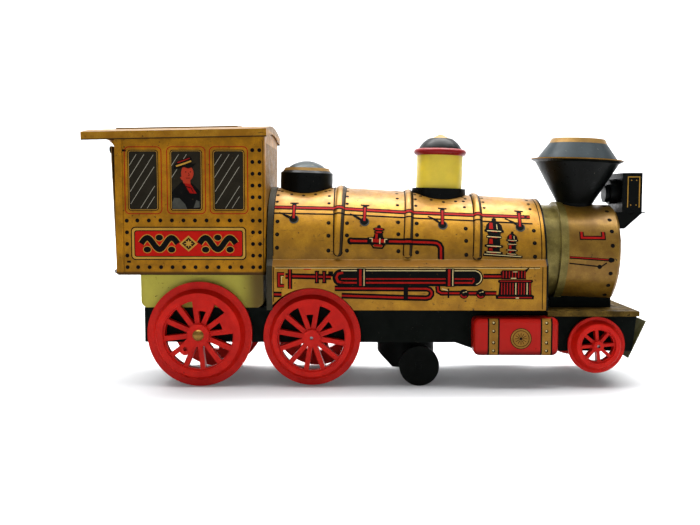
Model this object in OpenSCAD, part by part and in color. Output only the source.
/* [Cab and roof] */
// Half the width of the cab
cab_half_w = 40; // [39:0.1:40.2]
// Rear edge of the cab sides
cab_rear_x = -144.2; // [-144.6:0.1:-144]
// Front face of the cab
cab_front_x = -60.1; // [-60.6:0.1:-60]
// Lower edge of the cab sides
cab_bottom_z = 66.5; // [66.3:0.1:67]
// Radius of the cab's upright front corners
cab_corner_r = 4.5; // [3:0.1:6]
// Length of the roof
roof_len = 104.8; // [104:0.1:105]
// Depth of the rim around the roof
roof_rim = 4.6; // [4:0.1:5]
// Rise of the roof's arch between eaves and ridge
roof_rise = 3.9; // [3.5:0.1:4.5]
// Angle by which the roof rises towards the front, degrees
roof_tilt = 1; // [0:0.1:1.2]
// Angle by which the rear door leans outwards, degrees
door_lean = 1.8; // [0.5:0.1:2]

/* [Boiler] */
// Outer radius of the boiler barrel
barrel_r = 36.5; // [36:0.1:36.8]
// Rear end of the barrel
barrel_rear_x = -59.4; // [-59.8:0.1:-59.2]
// Front end of the barrel
barrel_front_x = 99.8; // [99:0.1:100]
// Height of the barrel's top behind its first rib
barrel_top_z = 116.2; // [115.8:0.1:116.4]
// Height of the barrel's top at the smokebox
barrel_low_top_z = 109.2; // [109:0.1:109.4]
// Angle by which the domes lean forward, degrees
dome_tilt = 1.7; // [0:0.1:2]
// Half the width of the boiler across its side valances
valance_half_w = 40; // [39.5:0.1:40.5]
// Distance between the ribs of the barrel
rib_pitch = 39.8; // [39:0.1:40]
// How far the ribs stand out of the barrel
rib_proud = 1.5; // [1:0.1:2]

/* [Smokebox] */
// Outer radius of the smokebox
smokebox_r = 30.2; // [30:0.1:30.3]
// Angle by which the smokebox and chimney lean forward, degrees
smokebox_tilt = 2.4; // [0:0.1:2.6]
// Radius of the chimney's widest rim
stack_rim_r = 27.3; // [26:0.1:28]

/* [Domes] */
// Radius of the sand dome
sand_dome_r = 15.9; // [15:0.1:16.5]
// Radius of the yellow lamp cylinder
lamp_r = 13.9; // [13:0.1:14.4]

/* [Chassis] */
// Half the width of the chassis frame
chassis_half_w = 28; // [27.6:0.1:28.2]
// Top of the chassis frame
chassis_top_z = 45.8; // [45.6:0.1:46]
// Underside of the chassis
chassis_bottom_z = 25.4; // [25.3:0.1:25.6]
// Thickness of the tinplate
tin = 0.6; // [0.5:0.05:0.7]

/* [Wheels] */
// Flange radius of the rear wheels, which stand on the ground
rear_r = 30.6; // [30:0.1:31]
// Flange radius of the middle wheels
middle_r = 28.3; // [27.5:0.1:28.6]
// Flange radius of the small front wheels
front_r = 16.4; // [16:0.1:16.8]
// Radius of the driven wheels under the truck
drive_r = 11.65; // [11.4:0.05:11.9]
// Radius of the three plain axles
axle_r = 1.5; // [1.4:0.1:1.7]
// Radial clearance of every running shaft in its hole
running_gap = 0.06; // [0.04:0.01:0.09]

/* [Gears] */
// Module of the truck's gears
truck_module = 0.5; // [0.5:0.5:0.5]
// Module of the gears between motor and drive shaft
train_module = 0.6; // [0.6:0.1:0.6]
// Play between meshing teeth
tooth_play = 0.14; // [0.1:0.01:0.2]

/* [Hidden] */
$fn = 96;
gap = 0.01;

// Axles of the wheelsets, as [x, z]
rear_axle_at = [-99.5, rear_r];
middle_axle_at = [-34, 29.1];
front_axle_at = [131.1, 24.6];

// Drive truck: swivel axis, axle and layshaft
truck_x = 22;
drive_axle_at = [truck_x + 6.6, drive_r];
pinion_teeth = 12;
wheel_teeth = 24;
mesh_truck = (pinion_teeth + wheel_teeth) * truck_module / 2;
layshaft_z = drive_r + sqrt(mesh_truck * mesh_truck - 6.6 * 6.6);
crown_r = wheel_teeth * truck_module / 2;
shaft_pinion_z = layshaft_z + crown_r;
drum_r = 17.3;

// Gear train from the motor: every stage is a pinion and a large gear
train_teeth = 36;
mesh_train = (pinion_teeth + train_teeth) * train_module / 2;
idler_x = truck_x - mesh_train;
motor_x = idler_x - mesh_train;

// Chassis outline
frame_rear_x = -132.4;
step_x = 100;
deck_top_z = 44.9;
front_bottom_z = 20.6;
slant = [49.6, 63.1];
nose_top_x = 155.4;
nose_bottom_x = 152.8;
frame_t = 0.8;

// Cab door hinge
hinge_at = [cab_rear_x - tin - 1.5, cab_bottom_z + 1.2];
hinge_r = 1.1;
hinge_pin_r = 0.55;
// Inner face of the door's sheet, measured from the hinge line
door_in = 1;

// Roof arch, as a circle through both eaves and the ridge
roof_half_w = cab_half_w + 1.2;
roof_mid_x = -163.6 + roof_len / 2;
roof_eave_z = 147.8;
roof_arc_r = (roof_half_w * roof_half_w + roof_rise * roof_rise) / (2 * roof_rise);

// Barrel: level behind the bend, then falling towards the smokebox
barrel_bend = [-19, 0, barrel_top_z - barrel_r];
barrel_slope = atan((barrel_top_z - barrel_low_top_z) / (barrel_front_x - barrel_bend[0]));
function barrel_axis_z(x) = barrel_bend[2] - max(0, x - barrel_bend[0]) * tan(barrel_slope);

// Frames of the leaning domes and of the leaning smokebox
dome_frame = [barrel_rear_x, 0, 76.4];
smokebox_mid = [130, 0, 76];
valance_bottom_z = chassis_top_z;
ledge_z = [71, 74.6];

// A rod along Y between two values of y
module y_rod(r, y0, y1) {
    translate([0, y0, 0]) rotate([-90, 0, 0]) cylinder(r = r, h = y1 - y0);
}

// A rod along X between two values of x
module x_rod(r, x0, x1) {
    translate([x0, 0, 0]) rotate([0, 90, 0]) cylinder(r = r, h = x1 - x0);
}

// Raises an XZ outline into a slab between two values of y
module slab_y(y0, y1) {
    translate([0, y1, 0]) rotate([90, 0, 0]) linear_extrude(y1 - y0) children();
}

// Raises a YZ outline into a slab between two values of x
module slab_x(x0, x1) {
    translate([x0, 0, 0]) rotate([90, 0, 90]) linear_extrude(x1 - x0) children();
}

module box(from, to) {
    translate(from) cube(to - from);
}

module both_sides() {
    children();
    mirror([0, 1, 0]) children();
}

// Stands a dome's piece on the barrel
module on_barrel(x) {
    translate(dome_frame) rotate([0, dome_tilt, 0]) translate([x - barrel_rear_x, 0, 0]) children();
}

module smokebox_place() {
    translate(smokebox_mid) rotate([0, smokebox_tilt, 0]) children();
}

module roof_place() {
    translate([roof_mid_x, 0, roof_eave_z]) rotate([0, -roof_tilt, 0]) children();
}

// Involute teeth
function inv_deg(a) = tan(a) * 180 / PI - a;
function tooth_half(r, rp, rb, n) =
    90 / n - tooth_play / rp * 90 / PI + inv_deg(20) - inv_deg(r > rb ? acos(rb / r) : 0);
function gear_radii(m, n) = [for (k = [-1 : 0.3 : 0.8]) n * m / 2 + k * m];
function polar(r, a) = [r * cos(a), r * sin(a)];

module gear_2d(m, n) {
    rp = n * m / 2;
    rb = rp * cos(20);
    radii = gear_radii(m, n);
    last = len(radii) - 1;
    polygon([
        for (i = [0 : n - 1], k = [0 : 2 * last + 1])
            let (up = k <= last, r = radii[up ? k : 2 * last + 1 - k])
            polar(r, i * 360 / n + (up ? -1 : 1) * tooth_half(r, rp, rb, n))
    ]);
}

// Chassis -----------------------------------------------------------------------------------

module frame_side_2d() {
    polygon([
        [frame_rear_x, chassis_top_z], [step_x, chassis_top_z], [step_x, deck_top_z - tin],
        [nose_top_x, deck_top_z - tin], [nose_bottom_x, front_bottom_z],
        [slant[1], front_bottom_z], [slant[0], chassis_bottom_z], [frame_rear_x, chassis_bottom_z]
    ]);
}

module chassis_frame() color("#17181a") difference() {
    union() {
        both_sides() slab_y(chassis_half_w - frame_t, chassis_half_w) frame_side_2d();
        box([frame_rear_x, -chassis_half_w, chassis_bottom_z],
            [frame_rear_x + frame_t, chassis_half_w, chassis_top_z]);
        slab_y(-chassis_half_w, chassis_half_w) polygon([
            [nose_top_x, deck_top_z - tin], [nose_bottom_x, front_bottom_z],
            [nose_bottom_x - frame_t, front_bottom_z], [nose_top_x - frame_t, deck_top_z - tin]
        ]);
        both_sides() box([frame_rear_x, chassis_half_w - 8, chassis_top_z - tin],
            [step_x, chassis_half_w, chassis_top_z]);
    }
    for (at = [rear_axle_at, middle_axle_at, front_axle_at])
        translate([at[0], 0, at[1]]) y_rod(axle_r + running_gap, -40, 40);
    box([frame_rear_x - 1, -9, 36], [frame_rear_x + 2, 9, 39]);
}

module base_plate_2d(t) {
    polygon([
        [frame_rear_x + frame_t, chassis_bottom_z], [slant[0], chassis_bottom_z],
        [slant[1], front_bottom_z], [nose_bottom_x - frame_t, front_bottom_z],
        [nose_bottom_x - frame_t, front_bottom_z + t], [slant[1], front_bottom_z + t],
        [slant[0], chassis_bottom_z + t], [frame_rear_x + frame_t, chassis_bottom_z + t]
    ]);
}

module base_plate() color("#1b1c1e") difference() {
    union() {
        slab_y(frame_t - chassis_half_w, chassis_half_w - frame_t) base_plate_2d(tin);
        // Pressed pad between the screws
        box([-112, -15, chassis_bottom_z - 0.4], [-48, 15, chassis_bottom_z + tin]);
    }
    translate([truck_x, 0, 0]) cylinder(r = 15.3, h = 60);
    for (x = [-120, -62, -8], y = [-20, 20])
        translate([x, y, 0]) cylinder(r = 1.3, h = 40);
}

module base_screws() color("silver") for (x = [-120, -62, -8], y = [-20, 20]) {
    translate([x, y, chassis_bottom_z - 1.1]) difference() {
        cylinder(r1 = 1.8, r2 = 2.4, h = 1.1, $fn = 32);
        box([-3, -0.3, -gap], [3, 0.3, 0.5]);
    }
    translate([x, y, chassis_bottom_z]) cylinder(r = 1.3, h = 5, $fn = 32);
}

module front_deck() color("#b08a3c") {
    top = deck_top_z;
    difference() {
        box([101.8, -36, top - 3], [154.2, 36, top]);
        box([101.8 - gap, tin - 36, top - 4], [154.2 - tin, 36 - tin, top - tin]);
        box([150, -chassis_half_w, top - 4], [156, chassis_half_w, top - tin]);
        box([106, -9, top - 2], [147, 9, top + 1]);
    }
}

// The sloping sheet in front of the chassis, with the flange that joins it to the frame
module pilot_plate() color("#6d6a35") {
    sheet_top = [161.1, 38.1];
    sheet_bottom = [151.3, 16.3];
    difference() {
        union() {
            slab_y(-27, 27) polygon([
                sheet_top, sheet_bottom, sheet_bottom - [tin, 0], sheet_top - [tin, 0]
            ]);
            both_sides() slab_y(8, 20) polygon([
                [153, 30], [156.8, 30], [156.8, 30.6], [153, 30.6]
            ]);
        }
        slab_y(-28, 28) frame_side_2d();
    }
}

module rounded_rect_2d(x0, x1, z0, z1, r) {
    hull() for (x = [x0 + r, x1 - r], z = [z0 + r, z1 - r]) translate([x, z]) circle(r, $fn = 32);
}

module side_tanks() color("#c8281e") both_sides() hull() {
    slab_y(chassis_half_w, 37.6) rounded_rect_2d(59, 107.4, 19.6, 41.4, 3.5);
    slab_y(chassis_half_w, 39.2) rounded_rect_2d(59.8, 106.6, 20.4, 40.6, 3.4);
    slab_y(chassis_half_w, 40) rounded_rect_2d(61.6, 104.8, 22.1, 38.9, 2.6);
}

// Cab ---------------------------------------------------------------------------------------

tray_x = [-134.3, -62.6];
tray_top_z = cab_bottom_z - tin;

module tray_2d(inset) {
    r = 4 - inset;
    x = [tray_x[0] + inset, tray_x[1] - inset];
    z0 = chassis_top_z + inset;
    translate([x[0], z0 + r]) square([x[1] - x[0], tray_top_z - z0 - r]);
    translate([x[0] + r, z0]) square([x[1] - x[0] - 2 * r, 10]);
    for (cx = [x[0] + r, x[1] - r]) translate([cx, z0 + r]) circle(r);
}

module battery_tray() color("#b9b469") {
    difference() {
        slab_y(-chassis_half_w, chassis_half_w) tray_2d(0);
        translate([0, 0, gap]) slab_y(tin - chassis_half_w, chassis_half_w - tin) tray_2d(tin);
    }
    for (x = [-125.5, -79.5]) both_sides()
        slab_y(chassis_half_w, chassis_half_w + tin) polygon([
            [x, tray_top_z], [x + 7, tray_top_z], [x + 2, tray_top_z - 2]
        ]);
}

module cab_plan_2d(inset) {
    r = cab_corner_r - inset;
    w = cab_half_w - inset;
    front = cab_front_x - inset;
    translate([cab_rear_x, -w]) square([front - r - cab_rear_x, 2 * w]);
    translate([cab_rear_x, r - w]) square([front - cab_rear_x, 2 * (w - r)]);
    for (s = [-1, 1]) translate([front - r, s * (w - r)]) circle(r);
}

module cab_floor() color("#8a7a3a") difference() {
    translate([0, 0, tray_top_z]) linear_extrude(tin) cab_plan_2d(0);
    box([tray_x[0] + 2, 2 - chassis_half_w, 60], [tray_x[1] - 2, chassis_half_w - 2, 70]);
}

// The space under the roof's arch, down to a depth
module under_arch(drop, depth) {
    roof_place() slab_x(-80, 80) intersection() {
        translate([0, roof_rise - roof_arc_r - drop]) circle(roof_arc_r, $fn = 180);
        translate([-60, -depth]) square([120, depth + 20]);
    }
}

module cab_shell() color("#b8862b") intersection() {
    difference() {
        translate([0, 0, cab_bottom_z]) linear_extrude(100) cab_plan_2d(0);
        translate([-gap, 0, cab_bottom_z - gap]) linear_extrude(101) cab_plan_2d(tin);
    }
    under_arch(1.2, 100);
}

door_hole = [[-33, 71], [33, 135]];

module cab_rear_panel() color("#b8862b") {
    x1 = cab_rear_x;
    half = cab_half_w + tin;
    intersection() {
        difference() {
            union() {
                box([x1 - tin, -half, cab_bottom_z], [x1, half, 152]);
                both_sides() box([x1 - tin, cab_half_w, cab_bottom_z], [x1 + 3.6, half, 143]);
            }
            box([x1 - 1, door_hole[0][0], door_hole[0][1]], [x1 + 1, door_hole[1][0], door_hole[1][1]]);
        }
        under_arch(1.2, 100);
    }
    both_sides() slab_y(cab_half_w - 0.8, cab_half_w) difference() {
        translate([x1 - tin - 4, 137.6]) square([4, 4]);
        translate([x1 - tin - 4, 137.6]) circle(4);
    }
    for (y = [-22, 22]) hinge_knuckle(y - 4, y + 4, hinge_pin_r, x1 - tin);
}

// A rolled knuckle on the door's hinge line, with a leaf that reaches to x = leaf
module hinge_knuckle(y0, y1, bore, leaf) {
    difference() {
        union() {
            translate([hinge_at[0], 0, hinge_at[1]]) y_rod(hinge_r, y0, y1);
            box([hinge_at[0], y0, hinge_at[1] - 0.3], [leaf, y1, hinge_at[1] + 0.3]);
        }
        translate([hinge_at[0], 0, hinge_at[1]]) y_rod(bore, y0 - 1, y1 + 1);
    }
}

module door_place() {
    translate([hinge_at[0], 0, hinge_at[1]]) rotate([0, -door_lean, 0]) children();
}

module battery_door() color("#7b6a24") {
    difference() {
        union() {
            door_place() difference() {
                box([door_in - tin, -36, 1.7], [door_in, 36, 71.5]);
                box([door_in - tin - 1, -26, 10], [door_in - tin + 0.3, 26, 62]);
            }
            for (y = [[-36, -26.5], [-17.5, 17.5], [26.5, 36]])
                door_place() {
                    box([door_in - tin, y[0], 0], [door_in, y[1], 2]);
                    y_rod(hinge_r, y[0], y[1]);
                }
        }
        door_place() y_rod(hinge_pin_r + running_gap, -40, 40);
    }
}

module door_catches() color("#141414") door_place() both_sides() translate([0, 33.5, 69.6])
    x_rod(1.9, door_in - tin - 1, door_in - tin);

module door_hinge_pin() color("silver") translate([hinge_at[0], 0, hinge_at[1]])
    y_rod(hinge_pin_r, -36.8, 36.8);

// The arched roof sheet with a rim all round and a raised panel
module roof_band_2d(half, drop, depth) {
    intersection() {
        difference() {
            translate([0, roof_rise - roof_arc_r - drop]) circle(roof_arc_r, $fn = 180);
            translate([0, roof_rise - roof_arc_r - depth]) circle(roof_arc_r, $fn = 180);
        }
        translate([-half, -20]) square([2 * half, 40]);
    }
}

module cab_roof() color("#b08a3c") roof_place() {
    half = roof_len / 2;
    difference() {
        slab_x(-half, half) roof_band_2d(roof_half_w, 0, roof_rim);
        slab_x(tin - half, half - tin) roof_band_2d(roof_half_w - tin, tin, roof_rim + 2);
    }
    slab_x(-half + 15, half - 18.5) roof_band_2d(23, -0.7, gap);
}

cell_r = 16.6;
cell_x = [-137.5, -78.5];
cell_z = 86;

module battery_cradle() color("#8c6a3c") {
    difference() {
        box([-140.5, -38, cell_z - cell_r - 1.2], [-64.5, 38, cell_z - 8]);
        for (y = [-17.2, 17.2]) translate([0, y, cell_z]) x_rod(cell_r + 0.2, -150, -60);
        box([-72.5, -30, cell_z - 14], [-64.5 + gap, 30, cell_z]);
    }
    box([-65.3, -36, cell_z - cell_r - 1.2], [-64.5, 36, cell_z + 20]);
}

module battery_cells() color("#3d5d7c") for (s = [-1, 1]) translate([0, 17.2 * s, cell_z]) {
    x_rod(cell_r, cell_x[0], cell_x[1]);
    x_rod(4.4, s > 0 ? cell_x[1] : cell_x[0] - 1.5, s > 0 ? cell_x[1] + 1.5 : cell_x[0]);
}

module battery_contacts() color("gold") for (s = [-1, 1]) translate([0, 17.2 * s, cell_z]) {
    x_rod(7.5, -65.8, -65.3);
    x_rod(5, -69.5, -65.8);
    x_rod(3.5, s > 0 ? cell_x[1] + 1.5 : cell_x[1], -69.5);
}

// Boiler ------------------------------------------------------------------------------------

module skirt_2d(inset) {
    w = valance_half_w - inset;
    z = ledge_z - [inset, inset];
    polygon([
        [-w, valance_bottom_z], [-w, z[0]], [-w + 3.4, z[1]],
        [w - 3.4, z[1]], [w, z[0]], [w, valance_bottom_z]
    ]);
}

module upper_half() {
    translate([-200, -100, 73]) cube([400, 200, 100]);
}

// Everything on one side of the plane in which the barrel bends
module beyond_bend(ahead) {
    translate(barrel_bend) rotate([0, barrel_slope / 2, 0])
        translate([ahead ? 0 : -400, -200, -200]) cube([400, 400, 400]);
}

// The barrel's round top with upright flanks under it
module barrel_solid(inset) {
    r = barrel_r - inset;
    x = [barrel_rear_x - 1, barrel_bend[0], barrel_front_x + 1];
    difference() {
        translate([0, 0, barrel_bend[2]]) x_rod(r, x[0], x[1] + 8);
        beyond_bend(true);
    }
    difference() {
        translate(barrel_bend) rotate([0, barrel_slope, 0]) x_rod(r, -8, x[2] - x[1] + 6);
        beyond_bend(false);
    }
    slab_y(0.03 - r, r - 0.03) polygon([
        [x[0], 73], [x[0], barrel_bend[2]], [x[1], barrel_bend[2]],
        [x[1] + (barrel_bend[2] - 73) / tan(barrel_slope), 73]
    ]);
}

module boiler_space(inset) {
    slab_x(barrel_rear_x - 1, barrel_front_x + 1) skirt_2d(inset);
    intersection() {
        barrel_solid(inset);
        upper_half();
    }
}

module rib(x) {
    translate([x, 0, barrel_axis_z(x)]) rotate([0, 90 + (x > 0 ? barrel_slope : barrel_slope / 2), 0])
        rotate_extrude() translate([barrel_r + rib_proud - 2.75, 0]) circle(2.75, $fn = 32);
}

module boiler_shell() color("#b8862b") difference() {
    intersection() {
        union() {
            boiler_space(0);
            intersection() {
                for (i = [-1 : 1]) rib(21 + i * rib_pitch);
                translate([-100, -60, 76]) cube([200, 120, 60]);
            }
        }
        box([barrel_rear_x + 3.3, -60, valance_bottom_z], [barrel_front_x, 60, 130]);
    }
    boiler_space(tin);
    on_barrel(lamp_x) cylinder(r = 7, h = 50);
    // Arches over the middle wheels
    both_sides() translate([middle_axle_at[0], 0, middle_axle_at[1]]) y_rod(middle_r + 1.2, 30, 60);
}

module boiler_rear_bulkhead() color("#6f7276") difference() {
    intersection() {
        boiler_space(-0.3);
        box([barrel_rear_x, -60, valance_bottom_z], [barrel_rear_x + 3.3, 60, 130]);
    }
    intersection() {
        boiler_space(tin);
        box([barrel_rear_x + tin, -60, 0], [barrel_rear_x + 4, 60, 130]);
    }
}

module boiler_front_bulkhead() color("#17181a") difference() {
    intersection() {
        boiler_space(-0.3);
        box([barrel_front_x, -60, valance_bottom_z], [barrel_front_x + 1, 60, 130]);
    }
    smokebox_place() x_rod(20, -60, 0);
}

// Smokebox and chimney ----------------------------------------------------------------------

module smokebox_collar() color("#8f8a4a") difference() {
    smokebox_place() union() {
        x_rod(smokebox_r - 1.6, -31, -19.8);
        x_rod(smokebox_r + 0.6, -19.8, -15.5);
    }
    smokebox_place() x_rod(smokebox_r - 2.4, -40, 0);
    box([90, -60, 30], [barrel_front_x + 1, 60, 130]);
    on_smokebox() cylinder(r = 10.7, h = 60);
}

module smokebox_shell() color("#9c7526") smokebox_place() difference() {
    union() {
        x_rod(smokebox_r, -15.5, 13.4);
        translate([13.4, 0, 0]) rotate([0, 90, 0]) cylinder(r1 = smokebox_r, r2 = smokebox_r - 1.1, h = 1.4);
    }
    x_rod(smokebox_r - tin, -16, 12.6);
    x_rod(smokebox_r - 4, 12, 16);
    translate([stack_at, 0, 0]) cylinder(r = 8, h = 40);
}

// Guessed front plate: a round door with a strap hinge and a turned handle
module smokebox_front() color("#17181a") smokebox_place() {
    x_rod(smokebox_r - 4, 12.6, 14.2);
    translate([14.2, 0, 0]) rotate([0, 90, 0]) cylinder(r1 = 21, r2 = 19, h = 1.3);
    for (z = [-9, 9]) box([15, -24, z - 1.3], [16, 10, z + 1.3]);
    x_rod(2.6, 15, 18);
    rotate([35, 0, 0]) box([17, -7, -0.7], [18, 7, 0.7]);
}

module smokebox_saddle() color("#141414") difference() {
    box([107, -17, deck_top_z], [143, 17, 52]);
    smokebox_place() x_rod(smokebox_r + gap, -30, 30);
    smokebox_place() x_rod(smokebox_r + 0.6 + gap, -30, -15.5);
    box([106, -9, deck_top_z - 1], [144, 9, 54]);
}

stack_at = -6.6;

module on_smokebox() {
    smokebox_place() translate([stack_at, 0, 0]) children();
}

module stack_cone() color("#131416") difference() {
    on_smokebox() rotate_extrude() polygon([
        [10.6, 24], [10.6, 30.4], [24.6, 54.6], [stack_rim_r, 56], [stack_rim_r, 56.7],
        [24, 56.7], [24, 55.6], [9.8, 30.8], [9.8, 24]
    ]);
    smokebox_place() x_rod(smokebox_r, -30, 30);
}

module stack_cap() color("#33404c") on_smokebox() rotate_extrude() polygon([
    [24, 56.7], [17.2, 66.2], [14, 66.2], [14, 65], [16.4, 65], [22.6, 56.7]
]);

module stack_ring() color("#b08a3c") on_smokebox() rotate_extrude() polygon([
    [17.2, 66.2], [15.9, 69], [14.4, 69], [12, 67.6], [0, 67.6], [0, 66.8], [14, 66.8], [14, 66.2]
]);

// Headlamp ----------------------------------------------------------------------------------

lamp_box_x = [149.4, 161.1];
lamp_box_z = [101.4, 124.6];
headlamp_z = 113.4;

module headlamp_bracket() color("#20262a") difference() {
    union() {
        slab_y(-13, 13) polygon([
            [144, 100.8], [163.6, 100.8], [163.6, 101.4], [144, 101.4]
        ]);
        both_sides() slab_y(10, 10.8) polygon([
            [144, 100.8], [162.6, 100.8], [152.2, 91.4], [144, 91.4]
        ]);
        slab_y(-10, 10) polygon([
            [162.6, 100.8], [152.2, 91.4], [144, 91.4], [144, 92], [152, 92], [161.7, 100.8]
        ]);
    }
    smokebox_place() x_rod(smokebox_r + 5, -30, 14.8);
    smokebox_place() x_rod(21.2, 10, 15.5);
}

module headlamp_box() color("#131416") difference() {
    box([lamp_box_x[0], -14.5, lamp_box_z[0]], [lamp_box_x[1], 14.5, lamp_box_z[1]]);
    box([lamp_box_x[0] + tin, tin - 14.5, lamp_box_z[0] + tin],
        [lamp_box_x[1] - tin, 14.5 - tin, lamp_box_z[1] - tin]);
    translate([0, 0, headlamp_z]) x_rod(9.6, 150, 170);
    translate([0, 0, headlamp_z]) x_rod(2.5, 140, 155);
}

module headlamp_reflector() color("silver") translate([lamp_box_x[0] + tin, 0, headlamp_z])
    rotate([0, 90, 0]) rotate_extrude() polygon([
        [3, 0], [4.5, 0.3], [10.4, 7.6], [10.4, 8.6], [9.8, 8.6], [3.8, 1], [3, 1]
    ]);

module headlamp_lens() color("#e8eef2") translate([0, 0, headlamp_z]) {
    x_rod(10.4, 158.8, 160.5);
    x_rod(9.5, 160.5, 161.4);
}

module headlamp_drum() color("#1d1f22") difference() {
    union() {
        translate([0, 0, headlamp_z + 0.4]) x_rod(7.6, 144.9, lamp_box_x[0]);
        translate([0, 0, headlamp_z - 0.8]) x_rod(5.4, 142.2, 144.9);
    }
    on_smokebox() translate([0, 0, 30.2]) cylinder(r1 = 10.8, r2 = 24.8, h = 24.4);
}

// Domes -------------------------------------------------------------------------------------

sand_dome_x = -40;

module sand_dome_base() color("#131416") difference() {
    on_barrel(sand_dome_x) rotate_extrude() polygon([
        [sand_dome_r, 30], [sand_dome_r, 49], [sand_dome_r - 1.6, 50.4],
        [sand_dome_r - 5, 50.4], [sand_dome_r - 5, 49.6], [sand_dome_r - 0.8, 48.6], [sand_dome_r - 0.8, 30]
    ]);
    barrel_solid(0);
}

module sand_dome_ring() color("#d8b45a") on_barrel(sand_dome_x) rotate_extrude() polygon([
    [14.2, 50.4], [13.4, 52.2], [9, 52.2], [9, 50.4]
]);

module sand_dome_cap() color("#5c6d7c") on_barrel(sand_dome_x) translate([0, 0, 52.2]) difference() {
    rotate_extrude() intersection() {
        translate([0, -13]) circle(17.4);
        square([13, 10]);
    }
    rotate_extrude() intersection() {
        translate([0, -13]) circle(16.6);
        translate([0, -1]) square([12, 10]);
    }
}

lamp_x = 40.7;
lamp_base = 42.2;

module lamp_collar() color("#131416") difference() {
    on_barrel(lamp_x) translate([0, 0, 30]) difference() {
        cylinder(r = 16.3, h = lamp_base - 30);
        translate([0, 0, -1]) cylinder(r = 12, h = lamp_base);
    }
    barrel_solid(0);
}

module lamp_glass() color("#e6c23a") on_barrel(lamp_x) translate([0, 0, lamp_base]) difference() {
    cylinder(r = lamp_r, h = 19.8);
    translate([0, 0, -1]) cylinder(r = lamp_r - 1.1, h = 23);
}

module lamp_ring() color("#b3141c") on_barrel(lamp_x) translate([0, 0, lamp_base + 19.8])
    rotate_extrude() union() {
        translate([12.4, 0]) square([1.6, 4]);
        translate([13.9, 2]) circle(2, $fn = 32);
    }

module lamp_cap() color("#16191b") on_barrel(lamp_x) translate([0, 0, lamp_base + 23.8]) {
    difference() {
        rotate_extrude() intersection() {
            translate([0, -6.2]) circle(14.5);
            square([13.1, 6.4]);
        }
        rotate_extrude() intersection() {
            translate([0, -6.2]) circle(13.7);
            translate([0, -1]) square([12.3, 6.6]);
        }
    }
    translate([0, 0, 6.4]) cylinder(r1 = 5.8, r2 = 1.2, h = 2.4);
}

module lamp_bulb() color("#f4f0dc") on_barrel(lamp_x) {
    translate([0, 0, 50]) sphere(r = 5.4);
    translate([0, 0, 40]) cylinder(r = 3.2, h = 8);
}

module bulb_socket() color("#c9a64a") difference() {
    union() {
        on_barrel(lamp_x) translate([0, 0, 33]) cylinder(r = 5, h = 9);
        intersection() {
            on_barrel(lamp_x) translate([0, 0, 30]) cylinder(r = 10, h = 20);
            barrel_solid(tin);
        }
    }
    difference() {
        barrel_solid(tin + 1.2);
        on_barrel(lamp_x) translate([0, 0, 30]) cylinder(r = 5, h = 20);
    }
    on_barrel(lamp_x) translate([0, 0, 40]) cylinder(r = 3.2, h = 3);
    on_barrel(lamp_x) translate([0, 0, 20]) cylinder(r = 12, h = 13);
}

// Red wheelsets -----------------------------------------------------------------------------

// A moulded spoked wheel, its inner side at z = 0. short holds the windows that a balance
// weight closes towards the rim.
module spoked_wheel(r, tread, window, hub, spokes, phase, short, spoke_w, through = false) difference() {
    union() {
        cylinder(r = r, h = 2);
        translate([0, 0, 2]) cylinder(r1 = tread + 2.2, r2 = tread, h = 4.6);
        cylinder(r = hub, h = 7.4);
        translate([0, 0, -0.6]) cylinder(r = hub - 1, h = 1);
    }
    translate([0, 0, 5]) difference() {
        cylinder(r = window + 1, h = 5);
        translate([0, 0, -1]) cylinder(r = hub, h = 7);
    }
    translate([0, 0, -1]) for (i = [0 : spokes - 1])
        let (a = phase + (i + 0.5) * 360 / spokes, h = 180 / spokes)
        let (out = (len(search(i, short)) > 0) ? window * 0.71 : window)
        linear_extrude(10) polygon(window_outline(a, h, hub + 0.6, out, spoke_w));
    translate([0, 0, -1]) cylinder(r = axle_r, h = through ? 12 : 6.5);
    cylinder(r = 1, h = 12);
}

// The gap between two spokes of even width
function window_outline(a, h, r0, r1, w) =
    let (e0 = asin(w / 2 / r0), e1 = asin(w / 2 / r1), n = 6)
    concat(
        [for (k = [0 : n]) polar(r1, a - (h - e1) + k * 2 * (h - e1) / n)],
        h > e0 ? [polar(r0, a + h - e0), polar(r0, a - h + e0)] : [polar(r0, a)]
    );

module wheel_pair(at, inner_y) {
    translate([at[0], 0, at[1]]) {
        translate([0, -inner_y, 0]) rotate([90, 0, 0]) children();
        mirror([0, 1, 0]) translate([0, -inner_y, 0]) rotate([90, 0, 0]) children();
    }
}

module rear_wheels() color("#d02a20") wheel_pair(rear_axle_at, 29.6) difference() {
    union() {
        spoked_wheel(rear_r, 24.4, 19.8, 6.4, 12, 6.5, [0, 2], 2.9, true);
        translate([0, 0, 2]) rotate([0, 0, 227]) translate([4, -3.5, 0]) cube([7.4, 7, 4]);
        translate([0, 0, 2]) rotate([0, 0, 227]) translate([11.4, 0, 0]) cylinder(r = 3.5, h = 4);
    }
    rotate([0, 0, 227]) translate([11.4, 0, -1]) cylinder(r = 1.3, h = 12);
    translate([0, 0, -1]) cylinder(r = axle_r, h = 12);
}

module middle_wheels() color("#d02a20") wheel_pair(middle_axle_at, 29.6)
    spoked_wheel(middle_r, 22.6, 19, 4.8, 12, 20, [0, 2], 2.8);

module front_wheels() color("#d02a20") wheel_pair(front_axle_at, 29.6)
    spoked_wheel(front_r, 12.4, 9.2, 2.8, 8, 5, [], 1.8);

module wheelset_axle(at, half) {
    translate([at[0], 0, at[1]]) y_rod(axle_r, -half, half);
}

module rear_axle() color("#b99a4e") {
    wheelset_axle(rear_axle_at, 37.2);
    both_sides() translate([rear_axle_at[0], 37, rear_axle_at[1]]) rotate([-90, 0, 0])
        rotate_extrude() intersection() {
            translate([0, -2.5]) circle(4.1);
            square([3.3, 3]);
        }
}

module middle_axle() color("silver") wheelset_axle(middle_axle_at, 35.1);

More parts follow.
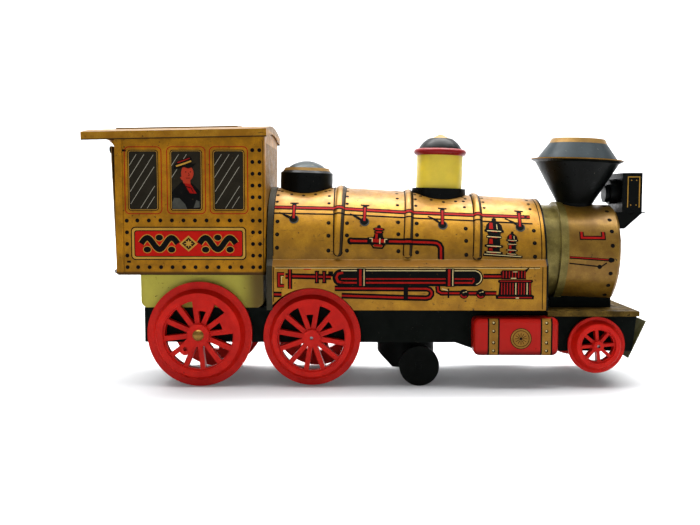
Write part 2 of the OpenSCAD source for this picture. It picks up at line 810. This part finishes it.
module front_axle() color("silver") wheelset_axle(front_axle_at, 35.1);

// Drive truck -------------------------------------------------------------------------------

module truck_housing() color("#101112") translate([truck_x, 0, 0]) difference() {
    union() {
        cylinder(r = drum_r, h = 16.4 + 8.5);
        translate([0, 0, 24.9]) cylinder(r = 15, h = 1.5);
    }
    translate([0, 0, -gap]) cylinder(r = drum_r - 1, h = 24);
    cylinder(r = 13, h = 40);
    translate([0, 0, -1]) cylinder(r = 30, h = 9.5);
    slab_y(-30, 30) polygon([[-18, 17], [-8, 8], [-8, 0], [-18, 0]]);
    translate([drive_axle_at[0] - truck_x, 0, drive_r]) y_rod(2, -20, 20);
}

module truck_collar() color("#2a2b2d") translate([truck_x, 0, 26.4]) difference() {
    cylinder(r = 19, h = 1);
    translate([0, 0, -1]) cylinder(r = 13, h = 3);
}

cheek_y = [9.6, 10.6];

module truck_cheeks() color("#8d9094") both_sides() difference() {
    slab_y(cheek_y[0], cheek_y[1]) polygon([
        [truck_x - 12, 24], [truck_x + 12, 24], [truck_x + 12, 8.6], [truck_x - 4, 8.6], [truck_x - 12, 15.8]
    ]);
    translate([truck_x, 0, layshaft_z]) y_rod(1 + running_gap, 0, 20);
    translate([drive_axle_at[0], 0, drive_r]) y_rod(1.25 + running_gap, 0, 20);
}

module drive_axle() color("silver") translate([drive_axle_at[0], 0, drive_r]) {
    y_rod(1.25, -29, 29);
    both_sides() y_rod(1.9, 18.2, 23.5);
}

module drive_wheels() color("#0f1011") wheel_pair(drive_axle_at, 23.5) difference() {
    union() {
        cylinder(r = drive_r, h = 6.1);
        translate([-2.1, -2.1, 6]) cube([4.2, 4.2, 0.6]);
    }
    translate([0, 0, -gap]) cylinder(r = 1.25, h = 5.5 + gap);
    translate([-1.2, -1.2, 6.2]) cube([2.4, 2.4, 1]);
}

// Gear pair inside the truck, on the side of negative y
gear_y = [-7, -4];
drive_to_lay = atan2(layshaft_z - drive_r, truck_x - drive_axle_at[0]);

// Gears with their axis along Y are drawn in the XZ plane
module xz_gear(m, n, phase, y0, y1, bore) {
    translate([0, y1, 0]) rotate([90, 0, 0]) linear_extrude(y1 - y0) difference() {
        rotate(phase) gear_2d(m, n);
        circle(bore);
    }
}

module axle_gear() color("#d8d2c0") translate([drive_axle_at[0], 0, drive_r])
    xz_gear(truck_module, wheel_teeth, drive_to_lay, gear_y[0], gear_y[1], 1.25);

// Layshaft with its pinion and the crown gear, whose teeth point at the upright shaft
module crown_gear_shaft() color("#c9c3b0") translate([truck_x, 0, layshaft_z]) {
    y_rod(1, -11.4, 11.4);
    xz_gear(truck_module, pinion_teeth, drive_to_lay + 180 + 180 / pinion_teeth, gear_y[0], gear_y[1], 0.9);
    difference() {
        y_rod(6.6, 3.5, 5);
        y_rod(1, 3, 6);
    }
    for (i = [0 : wheel_teeth - 1]) rotate([0, (i + 0.5) * 360 / wheel_teeth, 0])
        slab_x(5.3, 6.6) polygon([
            [3.6, -0.36], [3.6, 0.36], [2.65, 0.16], [2.65, -0.16]
        ]);
}

train_low_z = [31.5, 34.5];
train_high_z = [38, 41];

module flat_gear(m, n, phase, z, bore) {
    translate([0, 0, z[0]]) linear_extrude(z[1] - z[0]) difference() {
        rotate(phase) gear_2d(m, n);
        circle(bore);
    }
}

// Upright shaft with the main gear at the top and the truck's pinion at the bottom
module drive_shaft() color("#c9a64a") translate([truck_x, 0, 0]) {
    translate([0, 0, shaft_pinion_z - 1.5]) cylinder(r = 1.25, h = 46.4 - shaft_pinion_z + 1.5);
    flat_gear(train_module, train_teeth, 0, train_low_z, 1.25);
    flat_gear(truck_module, pinion_teeth, 90, [shaft_pinion_z - 0.9, shaft_pinion_z + 0.9], 1.25);
}

module idler_gear() color("#d8d2c0") translate([idler_x, 0, 0]) {
    flat_gear(train_module, pinion_teeth, 180 / pinion_teeth, [train_low_z[0], train_high_z[0]], 1.31);
    flat_gear(train_module, train_teeth, 0, train_high_z, 1.31);
}

module motor_shaft() color("silver") translate([motor_x, 0, 0]) {
    cylinder_z(1, train_high_z[0] - 0.8, 74);
    flat_gear(train_module, pinion_teeth, 180 / pinion_teeth, train_high_z, 1);
}

module cylinder_z(r, z0, z1) {
    translate([0, 0, z0]) cylinder(r = r, h = z1 - z0);
}

module mechanism_frame() color("#8d9094") {
    difference() {
        for (z = [28.6, 43.6]) box([-24, -16, z], [48, 16, z + 0.9]);
        translate([truck_x, 0, 0]) cylinder_z(1.25 + running_gap, 20, 60);
        translate([motor_x, 0, 0]) cylinder_z(4.5, 40, 60);
    }
    for (x = [-20, 45], y = [-13, 13]) translate([x, y, 0]) cylinder_z(1.5, 26, 43.6);
    translate([idler_x, 0, 0]) cylinder_z(1.25, 29.5, 43.6);
}

module motor_can() color("#a7abae") translate([motor_x, 0, 0]) difference() {
    intersection() {
        cylinder_z(12.5, 44.5, 76);
        translate([-20, -10, 40]) cube([40, 20, 60]);
    }
    cylinder_z(1 + running_gap, 40, 74.2);
}

// On/off lever in the slot of the rear wall, with its slider behind the wall
module switch_lever() color("#c8281e") {
    box([frame_rear_x - 4, -1.2, 36.3], [frame_rear_x + 1.2, 1.2, 38.7]);
    box([frame_rear_x - 4.6, -2.2, 35.4], [frame_rear_x - 3, 2.2, 39.6]);
    box([frame_rear_x + 1.1, -4, 34.5], [frame_rear_x + 2.1, 4, 40.5]);
}

chassis_frame();
base_plate();
base_screws();
front_deck();
pilot_plate();
side_tanks();
battery_tray();
cab_floor();
cab_shell();
cab_rear_panel();
cab_roof();
battery_door();
door_catches();
door_hinge_pin();
battery_cradle();
battery_cells();
battery_contacts();
boiler_shell();
boiler_rear_bulkhead();
boiler_front_bulkhead();
smokebox_collar();
smokebox_shell();
smokebox_front();
smokebox_saddle();
stack_cone();
stack_cap();
stack_ring();
headlamp_bracket();
headlamp_box();
headlamp_reflector();
headlamp_lens();
headlamp_drum();
sand_dome_base();
sand_dome_ring();
sand_dome_cap();
lamp_collar();
lamp_glass();
lamp_ring();
lamp_cap();
lamp_bulb();
bulb_socket();
rear_axle();
rear_wheels();
middle_axle();
middle_wheels();
front_axle();
front_wheels();
truck_housing();
truck_collar();
truck_cheeks();
drive_axle();
drive_wheels();
axle_gear();
crown_gear_shaft();
drive_shaft();
idler_gear();
mechanism_frame();
motor_can();
motor_shaft();
switch_lever();
